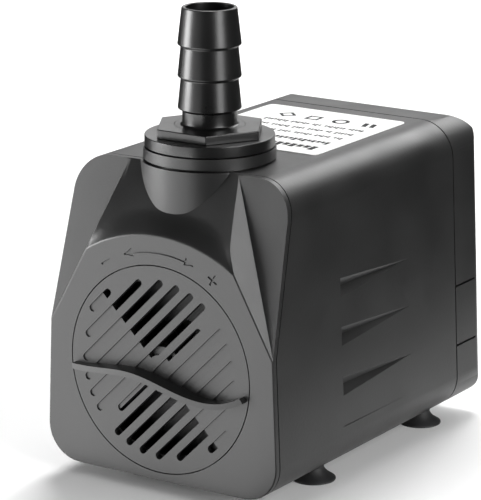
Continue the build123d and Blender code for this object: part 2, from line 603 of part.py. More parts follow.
def impeller():
    """A straight-vaned impeller, because this kind of motor may start either way round."""
    end = IMPELLER_Y + IMPELLER_LENGTH
    wheel = disc(IMPELLER_HUB, IMPELLER_Y, ROTOR_Y - ROTOR_CAP)
    vanes = Sketch()
    for step in range(VANE_COUNT):
        vane = Pos(IMPELLER_RADIUS / 2, 0) * Rectangle(IMPELLER_RADIUS, VANE_THICKNESS)
        vanes += Rot(0, 0, step * 360 / VANE_COUNT) * vane
    wheel += along_y(Pos(0, AXIS_Z) * vanes, IMPELLER_Y, end)
    return wheel - disc(SLEEVE_RADIUS, 0, BODY_LENGTH)


def rotor_sleeve():
    """The plastic sleeve that carries the magnet and the impeller and runs on the shaft."""
    sleeve = disc(SLEEVE_RADIUS, SLEEVE_FRONT_Y, ROTOR_END_Y)
    sleeve += disc(ROTOR_RADIUS, ROTOR_Y - ROTOR_CAP, ROTOR_Y)
    return sleeve - disc(SHAFT_RADIUS + SHAFT_CLEARANCE, 0, BODY_LENGTH)


def rotor_magnet():
    """The two-pole ferrite magnet."""
    return disc(ROTOR_RADIUS, ROTOR_Y, ROTOR_END_Y) - disc(SLEEVE_RADIUS, 0, BODY_LENGTH)


def shaft():
    """The fixed ceramic shaft, held at both ends by rubber seats."""
    rod = disc(SHAFT_RADIUS, SEAT_FRONT_Y + SEAT_FLOOR, WELL_END_Y - SEAT_FLOOR)
    return chamfer(rod.edges(), SHAFT_BREAK)


def shaft_seat(start, blind_end):
    """A rubber bush that holds one end of the shaft; the shaft stops short of its blind end."""
    end = start + SEAT_LENGTH
    seat = disc(SEAT_RADIUS, start, end)
    if blind_end == "front":
        return seat - disc(SHAFT_RADIUS, start + SEAT_FLOOR, end + OVERCUT)
    return seat - disc(SHAFT_RADIUS, start - OVERCUT, end - SEAT_FLOOR)


def thrust_washer(start):
    """A hard washer between the rotor and a shaft seat."""
    washer = disc(WASHER_RADIUS, start, start + WASHER_THICKNESS)
    return washer - disc(SHAFT_RADIUS + SHAFT_CLEARANCE, 0, BODY_LENGTH)


def coil_outer_x():
    """How far out the coils reach, inside the leaning side walls."""
    return half_width(YOKE_Z) - WALL - COIL_SIDE_GAP


def leg_range():
    """The two X positions between which a leg of the stator core stands."""
    cover = COIL_BUILD + BOBBIN_WALL + BOBBIN_CLEARANCE
    return COIL_INNER_X + cover, coil_outer_x() - cover


def upright(x_low, x_high, z_low, z_high):
    """A rectangle in the plane of the core, given by its limits."""
    return Pos((x_low + x_high) / 2, (z_low + z_high) / 2) * Rectangle(x_high - x_low, z_high - z_low)


def stator_core():
    """The laminated core: pole shoes round the rotor well, two legs and a yoke across the top."""
    inner, outer = leg_range()
    shoe_outer = max(outer, STATOR_BORE + POLE_WALL)
    shoe_half = STATOR_BORE + SHOE_WALL
    core = upright(-outer, outer, YOKE_Z, YOKE_TOP_Z)
    for side in (-1, 1):
        near, far = sorted((side * inner, side * outer))
        core += upright(near, far, AXIS_Z, YOKE_TOP_Z)
        near, far = sorted((side * POLE_GAP_HALF, side * shoe_outer))
        core += upright(near, far, AXIS_Z - shoe_half, AXIS_Z + shoe_half)
    core -= Pos(0, AXIS_Z) * Circle(STATOR_BORE)
    return along_y(core, STATOR_Y, STATOR_Y + STATOR_STACK)


def ring_on_leg(side, inner_gap, outer_gap, bottom, top):
    """A square tube round one leg of the core, between two distances from the leg."""
    near, far = leg_range()
    left, right = sorted((side * near, side * far))
    front, rear = STATOR_Y, STATOR_Y + STATOR_STACK

    def grown(gap, z_low, z_high):
        return block((left - gap, right + gap), (front - gap, rear + gap), (z_low, z_high))

    return grown(outer_gap, bottom, top) - grown(inner_gap, bottom - OVERCUT, top + OVERCUT)


def terminal_places():
    """Where the terminal pins stand in the rear edge of the bobbins' upper flanges."""
    near, far = leg_range()
    middle = (near + far) / 2
    y = STATOR_Y + STATOR_STACK + BOBBIN_CLEARANCE + BOBBIN_WALL
    z = BOBBIN_Z + BOBBIN_HEIGHT - BOBBIN_FLANGE / 2
    return [(side * middle + step * PIN_SPACING / 2, y, z) for side in (-1, 1) for step in (-1, 1)]


def terminal_pins():
    """Four tinned pins, two to a bobbin."""
    return Compound([disc(PIN_RADIUS, y, y + PIN_LENGTH, x, z) for x, y, z in terminal_places()])


def coil_bobbin(side):
    """The moulded former that one coil is wound on."""
    wall = BOBBIN_CLEARANCE + BOBBIN_WALL
    reach = wall + COIL_BUILD
    top = BOBBIN_Z + BOBBIN_HEIGHT
    bobbin = ring_on_leg(side, BOBBIN_CLEARANCE, wall, BOBBIN_Z, top)
    bobbin += ring_on_leg(side, BOBBIN_CLEARANCE, reach, BOBBIN_Z, BOBBIN_Z + BOBBIN_FLANGE)
    bobbin += ring_on_leg(side, BOBBIN_CLEARANCE, reach, top - BOBBIN_FLANGE, top)
    return bobbin - terminal_pins()


def winding(side):
    """One coil of enamelled wire, as a solid pack with rounded corners."""
    wall = BOBBIN_CLEARANCE + BOBBIN_WALL
    coil = ring_on_leg(side, wall, wall + COIL_BUILD - WINDING_INSET, BOBBIN_Z + BOBBIN_FLANGE,
                       BOBBIN_Z + BOBBIN_HEIGHT - BOBBIN_FLANGE)
    middle_y = STATOR_Y + STATOR_STACK / 2
    corners = coil.edges().filter_by(Axis.Z).sort_by(lambda edge: abs(edge.center().Y - middle_y))
    return fillet(corners[-4:], COIL_BUILD / 2)


def coil_link():
    """The insulated wire that joins the two coils in series."""
    places = terminal_places()
    start, end = places[1], places[2]
    y = start[1] + PIN_LENGTH
    path = FilletPolyline((start[0], y, start[2]), (start[0], y + LINK_REACH, start[2]),
                          (end[0], y + LINK_REACH, end[2]), (end[0], y, end[2]), radius=LINK_BEND)
    return sweep(Plane(origin=path @ 0, z_dir=path % 0) * Circle(LINK_RADIUS), path=path)


def thermal_fuse():
    """The thermal cut-out between the coils, with its two leads."""
    z = BOBBIN_Z + BOBBIN_HEIGHT / 2
    middle = STATOR_Y + STATOR_STACK / 2
    half = FUSE_LENGTH / 2
    fuse = fillet(disc(FUSE_RADIUS, middle - half, middle + half, 0, z).edges(), FUSE_ROUND)
    return fuse + disc(FUSE_LEAD_RADIUS, middle - half - FUSE_LEAD, middle + half + FUSE_LEAD, 0, z)


def potting_resin(embedded):
    """The resin that fills the motor space round everything that it seals in."""
    resin = body_section(WALL, BULKHEAD_REAR_Y, SEAM_Y - POTTING_END_GAP)
    resin -= disc(WELL_OUTER, 0, WELL_END_Y + WELL_WALL)
    resin -= post(TUBE_RADIUS, TUBE_FOOT_Z, BODY_HEIGHT)
    for x, y in cup_places().values():
        resin -= post(CUP_BOSS_RADIUS, 0, CUP_BOSS_TOP, x, y)
    for piece in embedded:
        resin -= piece
    return resin


def rear_outline():
    """The outside of the rear cover: rounded along its top and down its sides."""
    outer = body_section(0, SEAM_Y, BODY_LENGTH)
    side = Polygon((0, 0), (BODY_LENGTH, 0), (BODY_LENGTH, BODY_HEIGHT), (0, BODY_HEIGHT), align=None)
    side = fillet([v for v in side.vertices() if v.X > 1 and v.Y > 1], REAR_TOP_ROUND)
    side = fillet([v for v in side.vertices() if v.X > 1 and v.Y < 1], REAR_SIDE_ROUND)
    outer &= extrude(Plane.YZ * side, amount=FAR / 2, both=True)
    lean = degrees_of(SIDE_TAPER / BODY_HEIGHT)
    for sign in (-1, 1):
        edge_x = sign * BODY_WIDTH / 2
        plan = Polygon((0, 0), (edge_x, 0), (edge_x, BODY_LENGTH), (0, BODY_LENGTH), align=None)
        outside = [v for v in plan.vertices() if abs(v.X) > 1 and v.Y > 1]
        plan = fillet(outside, REAR_SIDE_ROUND)
        keep = extrude(plan, amount=FAR / 2, both=True)
        keep = keep.rotate(Axis((edge_x, 0, 0), (0, 1, 0)), -sign * lean)
        keep += block(sorted((-sign * FAR / 2, 0)), (0, BODY_LENGTH), (-FAR / 2, FAR / 2))
        outer &= keep
    return outer


def rear_cover():
    """The cap that closes the motor end, with a latch tongue in each side and the gland's hole."""
    cover = rear_outline() - body_section(WALL, 0, BODY_LENGTH - WALL)
    skirt = body_section(WALL + FIT, SEAM_Y - SKIRT_LENGTH, SEAM_Y + SKIRT_WALL)
    skirt += body_section(WALL / 2, SEAM_Y, SEAM_Y + SKIRT_WALL)
    skirt -= body_section(WALL + FIT + SKIRT_WALL, 0, BODY_LENGTH)
    for x, y in cup_places().values():
        skirt -= post(CUP_BOSS_RADIUS + CUP_BOSS_GAP, 0, CUP_BOSS_TOP + OVERCUT, x, y)
    cover += skirt
    for z in LATCH_Z:
        slit_z = (z - LATCH_SLIT / 2, z + LATCH_SLIT / 2)
        cover -= block((-FAR / 2, FAR / 2), (SEAM_Y, SEAM_Y + LATCH_LENGTH), slit_z)
    return cover - disc(GLAND_NECK, BODY_LENGTH - WALL - OVERCUT, BODY_LENGTH + OVERCUT, 0, GLAND_Z)


def cord_gland():
    """The rubber grommet that the supply cord passes through."""
    flange = GLAND_NECK + GLAND_FLANGE
    gland = disc(GLAND_NECK, BODY_LENGTH - WALL, BODY_LENGTH, 0, GLAND_Z)
    outer = disc(flange, BODY_LENGTH, BODY_LENGTH + GLAND_FLANGE_HEIGHT, 0, GLAND_Z)
    outer = fillet(outer.edges().group_by(Axis.Y)[-1], GLAND_ROUND)
    inner = disc(flange, BODY_LENGTH - WALL - GLAND_FLANGE_HEIGHT, BODY_LENGTH - WALL, 0, GLAND_Z)
    return gland + outer + inner - disc(GLAND_BORE, 0, FAR, 0, GLAND_Z)


def outlet_nozzle():
    """The hose barb: threaded stem, flange, hexagon, neck and barbs, with one bore right through."""
    root = THREAD_RADIUS - THREAD_DEPTH
    inner = root - THREAD_DEPTH / 2
    nozzle = turned([(0, STEM_END_Z), (root - STEM_LEAD_DEPTH, STEM_END_Z), (root, STEM_END_Z + STEM_LEAD),
                     (root, FLANGE_Z), (FLANGE_RADIUS, FLANGE_Z), (FLANGE_RADIUS, HEX_Z), (0, HEX_Z)])
    thread_top = FLANGE_Z - THREAD_RUNOUT
    flat = THREAD_PITCH / 6
    for turn in range(int((thread_top - STEM_END_Z) / THREAD_PITCH)):
        low = thread_top - (turn + 1) * THREAD_PITCH
        middle = low + THREAD_PITCH / 2
        nozzle += turned([(inner, low), (root, low), (THREAD_RADIUS, middle - flat),
                          (THREAD_RADIUS, middle + flat), (root, low + THREAD_PITCH), (inner, low + THREAD_PITCH)])
    hexagon = Pos(0, OUTLET_Y, HEX_Z) * extrude(RegularPolygon(HEX_RADIUS, 6), amount=HEX_HEIGHT)
    nozzle += hexagon & turned([(0, HEX_Z), (HEX_RADIUS, HEX_Z), (HEX_RADIUS, NECK_Z - HEX_BREAK),
                                (HEX_RADIUS - HEX_BREAK_WIDTH, NECK_Z), (0, NECK_Z)])
    outline = [(0, HEX_Z), (NECK_RADIUS, HEX_Z), (NECK_RADIUS, BARB_Z - BARB_STEP)]
    for index in range(BARB_COUNT):
        crest = BARB_Z + index * BARB_PITCH
        last = index == BARB_COUNT - 1
        top = TIP_Z if last else crest + BARB_PITCH - BARB_STEP
        outline += [(BARB_RADIUS, crest), (TIP_RADIUS if last else BARB_TOP_RADIUS, top)]
    outline += [(0, TIP_Z)]
    nozzle += turned(outline)
    return nozzle - post(NOZZLE_BORE, STEM_END_Z - OVERCUT, TIP_Z + OVERCUT)


def nozzle_gasket():
    """The flat rubber ring between the nozzle's flange and the collar."""
    ring = post(TUBE_BORE + GASKET_WIDTH, FLANGE_Z - GASKET_THICKNESS, FLANGE_Z)
    return ring - post(TUBE_BORE, 0, FAR)


def suction_cup(x, y):
    """One rubber foot: a shallow cup, a neck and a head that snaps into the underside."""
    head = WALL + CUP_HEAD_HEIGHT
    return Pos(x, y, 0) * turned([
        (0, -CUP_HEIGHT * 0.55), (CUP_RADIUS - CUP_RIM, -CUP_HEIGHT), (CUP_RADIUS, -CUP_HEIGHT),
        (CUP_RADIUS, -CUP_HEIGHT + 0.5), (CUP_NECK, -CUP_HEIGHT * 0.3), (CUP_NECK, 0), (CUP_STEM, 0),
        (CUP_STEM, WALL + CUP_CLEARANCE), (CUP_HEAD, WALL + CUP_CLEARANCE), (CUP_HEAD, head - 0.8),
        (CUP_STEM, head), (0, head)], 0, 0)


def rating_label():
    """The printed label on top of the housing."""
    length = SEAM_Y - LABEL_REAR_INSET - LABEL_FRONT_Y
    sheet = Pos(0, LABEL_FRONT_Y + length / 2) * RectangleRounded(2 * LABEL_HALF, length, LABEL_CORNER)
    return Pos(0, 0, BODY_HEIGHT) * extrude(sheet, amount=LABEL_THICKNESS)


def all_pieces():
    """Every node of the pump in the working frame."""
    pieces = {
        "motor_housing": motor_housing(),
        "intake_cover": intake_cover(),
        "flow_dial": flow_dial(),
        "impeller_cover": impeller_cover(),
        "chamber_seal": chamber_seal(),
        "impeller": impeller(),
        "rotor_sleeve": rotor_sleeve(),
        "rotor_magnet": rotor_magnet(),
        "shaft": shaft(),
        "front_shaft_seat": shaft_seat(SEAT_FRONT_Y, "front"),
        "rear_shaft_seat": shaft_seat(SEAT_REAR_Y, "rear"),
        "front_thrust_washer": thrust_washer(SPIGOT_END_Y + WASHER_GAP),
        "rear_thrust_washer": thrust_washer(ROTOR_END_Y + WASHER_GAP),
        "stator_core": stator_core(),
        "coil_bobbin_left": coil_bobbin(-1),
        "coil_bobbin_right": coil_bobbin(1),
        "winding_left": winding(-1),
        "winding_right": winding(1),
        "terminal_pins": terminal_pins(),
        "coil_link": coil_link(),
        "thermal_fuse": thermal_fuse(),
        "rear_cover": rear_cover(),
        "cord_gland": cord_gland(),
        "outlet_nozzle": outlet_nozzle(),
        "nozzle_gasket": nozzle_gasket(),
        "rating_label": rating_label(),
    }
    embedded = ["stator_core", "coil_bobbin_left", "coil_bobbin_right", "winding_left", "winding_right",
                "terminal_pins", "coil_link", "thermal_fuse"]
    pieces["potting_resin"] = potting_resin([pieces[name] for name in embedded])
    for name, (x, y) in cup_places().items():
        pieces[name] = suction_cup(x, y)
    return pieces


def main():
    """Move every piece so that the origin is the centre of the footprint, and write its STEP file."""
    os.makedirs("parts", exist_ok=True)
    front_y = -BLADE_HEIGHT
    rear_y = BODY_LENGTH + GLAND_FLANGE_HEIGHT
    place = Pos(0, -(front_y + rear_y) / 2, CUP_HEIGHT)
    for name, piece in all_pieces().items():
        export_step(place * piece, f"parts/{name}.step")


main()
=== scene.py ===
from math import cos, pi, radians, sin

import bmesh
import bpy
from mathutils import Matrix, Vector


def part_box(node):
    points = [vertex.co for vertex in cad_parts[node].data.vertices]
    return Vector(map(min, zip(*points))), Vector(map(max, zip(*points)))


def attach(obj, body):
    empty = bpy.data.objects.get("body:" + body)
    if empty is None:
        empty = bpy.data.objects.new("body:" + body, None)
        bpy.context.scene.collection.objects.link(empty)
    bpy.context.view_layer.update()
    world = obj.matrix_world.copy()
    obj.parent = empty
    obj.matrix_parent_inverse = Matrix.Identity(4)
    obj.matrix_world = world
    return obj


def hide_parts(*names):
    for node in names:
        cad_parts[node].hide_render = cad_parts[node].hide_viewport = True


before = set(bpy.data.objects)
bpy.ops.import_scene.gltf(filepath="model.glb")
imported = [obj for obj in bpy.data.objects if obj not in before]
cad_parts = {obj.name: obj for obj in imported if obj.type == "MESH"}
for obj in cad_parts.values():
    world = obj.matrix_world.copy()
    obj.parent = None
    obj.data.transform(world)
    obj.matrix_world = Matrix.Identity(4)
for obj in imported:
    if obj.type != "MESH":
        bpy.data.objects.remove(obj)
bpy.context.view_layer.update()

# A fountain pump in dark moulded ABS. The CAD shells are copied, their moulded edges rounded and
# given a spark-eroded grain; the hose barb, the suction cups and the label's print are made here.

MM = 0.001

# ---- the view, in degrees and metres, with the lens and the sensor in millimetres -------
VIEW_AZIMUTH = 33.4
VIEW_ELEVATION = 15.1
VIEW_DISTANCE = 0.6485
VIEW_TARGET = Vector((-0.0048, -0.0052, 0.0462))
LENS = 205.3
SENSOR_WIDTH = 36
CLIP_START = 0.01
CLIP_END = 50

# ---- the light, in degrees, metres and watts --------------------------------------------
WORLD_STRENGTH = 0.05      # of the surround as light; the camera sees it white
# name, azimuth, elevation, distance, width, height and power
SOFTBOXES = (
    ("key_softbox", -55, 6, 0.8, 0.36, 0.26, 5.0),
    ("right_strip", 74, 17, 1.0, 0.42, 0.6, 7.5),
    ("flank_softbox", 94, 32, 1.0, 0.22, 0.22, 1.6),
    ("back_softbox", 180, 32, 1.1, 0.5, 0.6, 4.8),
    ("rear_low", 213, 16, 1.3, 0.5, 0.24, 0.75),
    ("floor_softbox", 205, 60, 1.2, 0.5, 0.5, 12),
)
# the lit panel on the floor in front: x, y, width, depth and power
LIGHT_TABLE = (-0.18, -0.26, 0.40, 0.42, 1.2)
# how far from the origin the floor starts to glow and glows fully, so that it stays pale
GLOW_START = 0.35
GLOW_FULL = 1.1
# the floor in pieces: low x, low y, high x, high y and whether reflections show it
FLOOR_PIECES = (
    ("floor_front", -12.0, -24.0, 0.03, -0.04, True),
    ("floor_front_right", 0.03, -24.0, 12.0, -0.04, False),
    ("floor_near", -0.12, -0.04, 0.072, 0.16, True),
    ("floor_left", -12.0, -0.04, -0.12, 24.0, False),
    ("floor_right", 0.072, -0.04, 12.0, 24.0, False),
    ("floor_behind", -0.12, 0.16, 0.072, 24.0, False),
)

# ---- sizes of the pieces made here, in millimetres --------------------------------------
EDGE_ROUND = 0.22          # on the edges of the moulded shells
DIAL_ROUND = 0.2
FACE_ROUND = 0.45          # round the outline of the flat front face
FACE_DEPTH = 0.05          # edges this close to the front belong to the face
OUTLINE_REACH = 27.6       # from the dial's centre: past the marks, short of the face's outline
REAR_SEAM = 0.22           # extra width of the seam between the housing and the rear cover
RIM_DEPTH = 0.01           # points this close to the rear belong to the rim
MERGE_DISTANCE = 0.001
SHARP_ANGLE = radians(28)  # an edge that turns by more than this gets rounded
FLAT_ANGLE = radians(0.5)  # faces that turn by less than this become one
LATHE_STEPS = 96
FULL_TURN = 2 * pi

# node, rounding, body, seam at the rear rim and rounding of the front's outline
ABS_SHELLS = (
    ("motor_housing", EDGE_ROUND, "body", REAR_SEAM, 0.0),
    ("rear_cover", EDGE_ROUND, "body", 0.0, 0.0),
    ("intake_cover", EDGE_ROUND, "cover", 0.0, FACE_ROUND),
    ("impeller_cover", DIAL_ROUND, "body", 0.0, 0.0),
    ("flow_dial", DIAL_ROUND, "dial", 0.0, 0.0),
)

GASKET_WIDTH = 1.05        # of the ring, outside the tube's bore
THREAD_CLEARANCE = 0.2     # from the thread's crest to the tube's bore
THREAD_PITCH = 2.8
THREAD_DEPTH = 1.0
THREAD_RUNOUT = 1.2        # plain stem above the thread
THREAD_SINK = 0.3          # of the ridge into the stem
THREAD_GAP = 0.1           # from a ridge's foot to the middle between two ridges
THREAD_STEPS = 60          # in a turn
STEM_LEAD = 1.5            # height of the taper at the stem's foot
STEM_TAPER = 1.0
BORE_RADIUS = 5.2
FLANGE_HEIGHT = 2.45
HEX_RADIUS = 12.76
HEX_HEIGHT = 2.05
HEX_OPENING = 7.5
HEX_SINK = 0.05            # of the hexagon into the flange
HEX_CUTS = 7               # points added along each side of the hexagon
HEX_ROUND = 0.22
COLLAR_RADIUS = 8.0        # solid part inside the hexagon
NECK_RADIUS = 6.0
NECK_FLARE = 0.6
NECK_HEIGHT = 3.7
BARB_RADIUS = 7.0
BARB_WAIST = 6.3
BARB_STEP = 0.45
BARB_PITCH = 7.05
BARB_ROUND = 0.18
TIP_RADIUS = 6.05

# half sections as radius and height: the hollow from its top down, and the back up to the neck
CUP_INSIDE = ((0, 1.9), (1.6, 1.7), (3.2, 0.9))
CUP_BACK = ((4.2, 0.85), (3.4, 1.4), (2.8, 2.0), (2.35, 2.7))
CUP_LIP = 0.55
CUP_RIM_HEIGHT = 0.35
CUP_ROUND = 0.1
STEM_RADIUS = 1.9          # of the stem through the housing's floor
HEAD_RADIUS = 2.8          # of the head above it
HEAD_HEIGHT = 1.6
HEAD_EDGE = 0.8            # height of the head's upright edge, under its taper

INK_THICKNESS = 0.02
LABEL_MARGIN = 3.4         # of the print inside the film's side edge
STROKE_SHARES = (1.0, 0.66, 0.66, 0.85, 0.66, 1.0, 0.66)
# rows of print: distance from the front edge, height, stroke, gap and strokes in each group
PRINT_ROWS = (
    (5.4, 3.4, 1.4, 0.4, (9,)),
    (11.0, 2.4, 0.9, 0.32, (14,)),
    (16.6, 1.7, 0.55, 0.26, (3, 5, 6, 4, 7)),
    (21.2, 1.7, 0.55, 0.26, (6, 2, 5, 4, 6, 5)),
    (25.8, 1.7, 0.55, 0.26, (5, 7, 3, 6, 8)),
)
MARKS_Y = 31.8             # from the label's front edge to the row of marks
BAR_PLACES = (1.0, 3.0)    # of the two slanted bars from the print's edge
BAR_CORNERS = ((-0.1, -1.7), (1.1, -1.7), (0.3, 1.7), (-0.9, 1.7))
# ring-shaped marks: distance from the print's edge, radius, corners and turn
RING_MARKS = ((9.5, 2.1, 32, 0), (16.8, 2.5, 4, pi / 4), (24.0, 2.4, 4, 0))
RING_SHARES = (1.0, 0.6)   # a mark's outer and inner edge, as shares of its radius


# ---- node helpers -----------------------------------------------------------------------
# a Mix node's sockets for colours, by number because numbers and vectors share their names
MIX_FACTOR, MIX_LOW, MIX_HIGH, MIX_COLOUR = 0, 6, 7, 2
WAVE_UNIT = 20             # a Wave texture of scale 1 repeats every 2 pi / 20


def linear(code):
    """An sRGB hex colour as linear RGBA."""
    channels = [int(code[i:i + 2], 16) / 255 for i in (1, 3, 5)]
    return [c / 12.92 if c <= 0.04045 else ((c + 0.055) / 1.055) ** 2.4 for c in channels] + [1.0]


def add(tree, kind, inputs=None, **settings):
    """One node with its settings, its input values and its links."""
    node = tree.nodes.new(kind)
    for name, value in settings.items():
        setattr(node, name, value)
    for name, value in (inputs or {}).items():
        if isinstance(value, bpy.types.NodeSocket):
            tree.links.new(value, node.inputs[name])
        else:
            node.inputs[name].default_value = value
    return node


def start(name):
    """A new material, its empty node tree and its Object coordinates."""
    material = bpy.data.materials.new(name)
    material.use_nodes = True
    tree = material.node_tree
    tree.nodes.clear()
    return material, tree, add(tree, "ShaderNodeTexCoord").outputs["Object"]


# ---- materials --------------------------------------------------------------------------
def moulded_plastic(name, dark, light, roughness, grain_mm, depth_mm, ior=1.54):
    """A thermoplastic moulded in a spark-eroded tool: an even fine grain that spreads the highlight,
    with slow changes of gloss where the melt flowed, and a slightly polished skin."""
    material, tree, place = start(name)
    flow = add(tree, "ShaderNodeTexNoise", {"Vector": place, "Scale": 1 / (14 * MM), "Detail": 3.0})
    grain = add(tree, "ShaderNodeTexNoise", {
        "Vector": place, "Scale": 1 / (grain_mm * MM), "Detail": 2.0, "Roughness": 0.6})
    pits = add(tree, "ShaderNodeTexVoronoi", {
        "Vector": place, "Scale": 1 / (1.6 * grain_mm * MM)}, feature="SMOOTH_F1")
    mixed = add(tree, "ShaderNodeMath", {
        0: grain.outputs["Fac"], 1: pits.outputs["Distance"]}, operation="MULTIPLY")
    shade = add(tree, "ShaderNodeMapRange", {
        "Value": flow.outputs["Fac"], "From Min": 0.35, "From Max": 0.65})
    colour = add(tree, "ShaderNodeMix", {
        MIX_FACTOR: shade.outputs["Result"], MIX_LOW: linear(dark), MIX_HIGH: linear(light)},
        data_type="RGBA")
    gloss = add(tree, "ShaderNodeMapRange", {
        "Value": flow.outputs["Fac"], "From Min": 0.3, "From Max": 0.7,
        "To Min": roughness - 0.04, "To Max": roughness + 0.05})
    bump = add(tree, "ShaderNodeBump", {
        "Height": mixed.outputs[0], "Strength": 0.35, "Distance": depth_mm * MM})
    shader = add(tree, "ShaderNodeBsdfPrincipled", {
        "Base Color": colour.outputs[MIX_COLOUR], "Roughness": gloss.outputs["Result"],
        "Normal": bump.outputs["Normal"], "IOR": ior})
    add(tree, "ShaderNodeOutputMaterial", {"Surface": shader.outputs["BSDF"]})
    return material


def moulded_rubber():
    """Moulded nitrile rubber: deep black with a dusty bloom in patches and a soft, dull shine."""
    material, tree, place = start("moulded_nitrile_rubber")
    bloom = add(tree, "ShaderNodeTexNoise", {"Vector": place, "Scale": 1 / (5 * MM), "Detail": 5.0})
    dust = add(tree, "ShaderNodeMapRange", {
        "Value": bloom.outputs["Fac"], "From Min": 0.45, "From Max": 0.7})
    colour = add(tree, "ShaderNodeMix", {
        MIX_FACTOR: dust.outputs["Result"], MIX_LOW: linear("#121213"), MIX_HIGH: linear("#1f1f20")},
        data_type="RGBA")
    skin = add(tree, "ShaderNodeTexNoise", {"Vector": place, "Scale": 1 / (0.3 * MM), "Detail": 2.0})
    bump = add(tree, "ShaderNodeBump", {
        "Height": skin.outputs["Fac"], "Strength": 0.25, "Distance": 0.02 * MM})
    shader = add(tree, "ShaderNodeBsdfPrincipled", {
        "Base Color": colour.outputs[MIX_COLOUR], "Roughness": 0.62,
        "Normal": bump.outputs["Normal"], "IOR": 1.52})
    add(tree, "ShaderNodeOutputMaterial", {"Surface": shader.outputs["BSDF"]})
    return material


def laminated_steel():
    """Silicon steel sheets of 0.5 mm stacked along Y: bright cut edges with dark insulation between.
    The sheets are drawn about six times as thick as they are."""
    material, tree, place = start("laminated_silicon_steel")
    bands = add(tree, "ShaderNodeTexWave", {
        "Vector": place, "Scale": 1 / (WAVE_UNIT * 0.5 * MM), "Distortion": 0.2}, bands_direction="Y")
    colour = add(tree, "ShaderNodeMix", {
        MIX_FACTOR: bands.outputs["Fac"], MIX_LOW: linear("#55565a"), MIX_HIGH: linear("#9a9ba0")},
        data_type="RGBA")
    blotch = add(tree, "ShaderNodeTexNoise", {"Vector": place, "Scale": 1 / (3 * MM), "Detail": 4.0})
    rough = add(tree, "ShaderNodeMapRange", {
        "Value": blotch.outputs["Fac"], "To Min": 0.3, "To Max": 0.55})
    bump = add(tree, "ShaderNodeBump", {
        "Height": bands.outputs["Fac"], "Strength": 0.4, "Distance": 0.05 * MM})
    shader = add(tree, "ShaderNodeBsdfPrincipled", {
        "Base Color": colour.outputs[MIX_COLOUR], "Metallic": 1.0,
        "Roughness": rough.outputs["Result"], "Normal": bump.outputs["Normal"]})
    add(tree, "ShaderNodeOutputMaterial", {"Surface": shader.outputs["BSDF"]})
    return material


def enamelled_copper():
    """Copper wire of 0.35 mm under clear enamel, wound in layers: level ridges, warm and glossy.
    The wire is drawn about six times as thick as it is."""
    material, tree, place = start("enamelled_copper_wire")
    turns = add(tree, "ShaderNodeTexWave", {
        "Vector": place, "Scale": 1 / (WAVE_UNIT * 0.35 * MM), "Distortion": 0.6, "Detail": 1.0},
        bands_direction="Z")
    colour = add(tree, "ShaderNodeMix", {
        MIX_FACTOR: turns.outputs["Fac"], MIX_LOW: linear("#6e2d12"), MIX_HIGH: linear("#c8683a")},
        data_type="RGBA")
    bump = add(tree, "ShaderNodeBump", {
        "Height": turns.outputs["Fac"], "Strength": 0.8, "Distance": 0.12 * MM})
    shader = add(tree, "ShaderNodeBsdfPrincipled", {
        "Base Color": colour.outputs[MIX_COLOUR], "Metallic": 0.85, "Roughness": 0.32,
        "Normal": bump.outputs["Normal"], "Coat Weight": 0.4})
    add(tree, "ShaderNodeOutputMaterial", {"Surface": shader.outputs["BSDF"]})
    return material


def ground_ferrite():
    """Sintered ferrite, ground round: charcoal, slightly speckled, with a dull sheen."""
    material, tree, place = start("ground_ferrite")
    speck = add(tree, "ShaderNodeTexNoise", {"Vector": place, "Scale": 1 / (0.6 * MM), "Detail": 6.0})
    spread = add(tree, "ShaderNodeMapRange", {
        "Value": speck.outputs["Fac"], "From Min": 0.4, "From Max": 0.65})
    colour = add(tree, "ShaderNodeMix", {
        MIX_FACTOR: spread.outputs["Result"], MIX_LOW: linear("#2a2a2b"),
        MIX_HIGH: linear("#47474a")}, data_type="RGBA")
    bump = add(tree, "ShaderNodeBump", {
        "Height": speck.outputs["Fac"], "Strength": 0.2, "Distance": 0.03 * MM})
    shader = add(tree, "ShaderNodeBsdfPrincipled", {
        "Base Color": colour.outputs[MIX_COLOUR], "Metallic": 0.3, "Roughness": 0.48,
        "Normal": bump.outputs["Normal"]})
    add(tree, "ShaderNodeOutputMaterial", {"Surface": shader.outputs["BSDF"]})
    return material


def polished_ceramic():
    """Alumina, ground and polished: warm white, smooth and glossy."""
    material, tree, place = start("polished_alumina_ceramic")
    tone = add(tree, "ShaderNodeTexNoise", {"Vector": place, "Scale": 1 / (4 * MM), "Detail": 2.0})
    colour = add(tree, "ShaderNodeMix", {
        MIX_FACTOR: tone.outputs["Fac"], MIX_LOW: linear("#e4dfd2"), MIX_HIGH: linear("#f2efe6")},
        data_type="RGBA")
    shader = add(tree, "ShaderNodeBsdfPrincipled", {
        "Base Color": colour.outputs[MIX_COLOUR], "Roughness": 0.16, "IOR": 1.76})
    add(tree, "ShaderNodeOutputMaterial", {"Surface": shader.outputs["BSDF"]})
    return material


def tinned_wire():
    """Hot-dipped tin over brass: pale grey metal with a soft, uneven shine."""
    material, tree, place = start("tinned_brass_pin")
    dip = add(tree, "ShaderNodeTexNoise", {"Vector": place, "Scale": 1 / (0.8 * MM), "Detail": 3.0})
    rough = add(tree, "ShaderNodeMapRange", {
        "Value": dip.outputs["Fac"], "To Min": 0.2, "To Max": 0.45})
    shader = add(tree, "ShaderNodeBsdfPrincipled", {
        "Base Color": linear("#c9c8c2"), "Metallic": 1.0, "Roughness": rough.outputs["Result"]})
    add(tree, "ShaderNodeOutputMaterial", {"Surface": shader.outputs["BSDF"]})
    return material


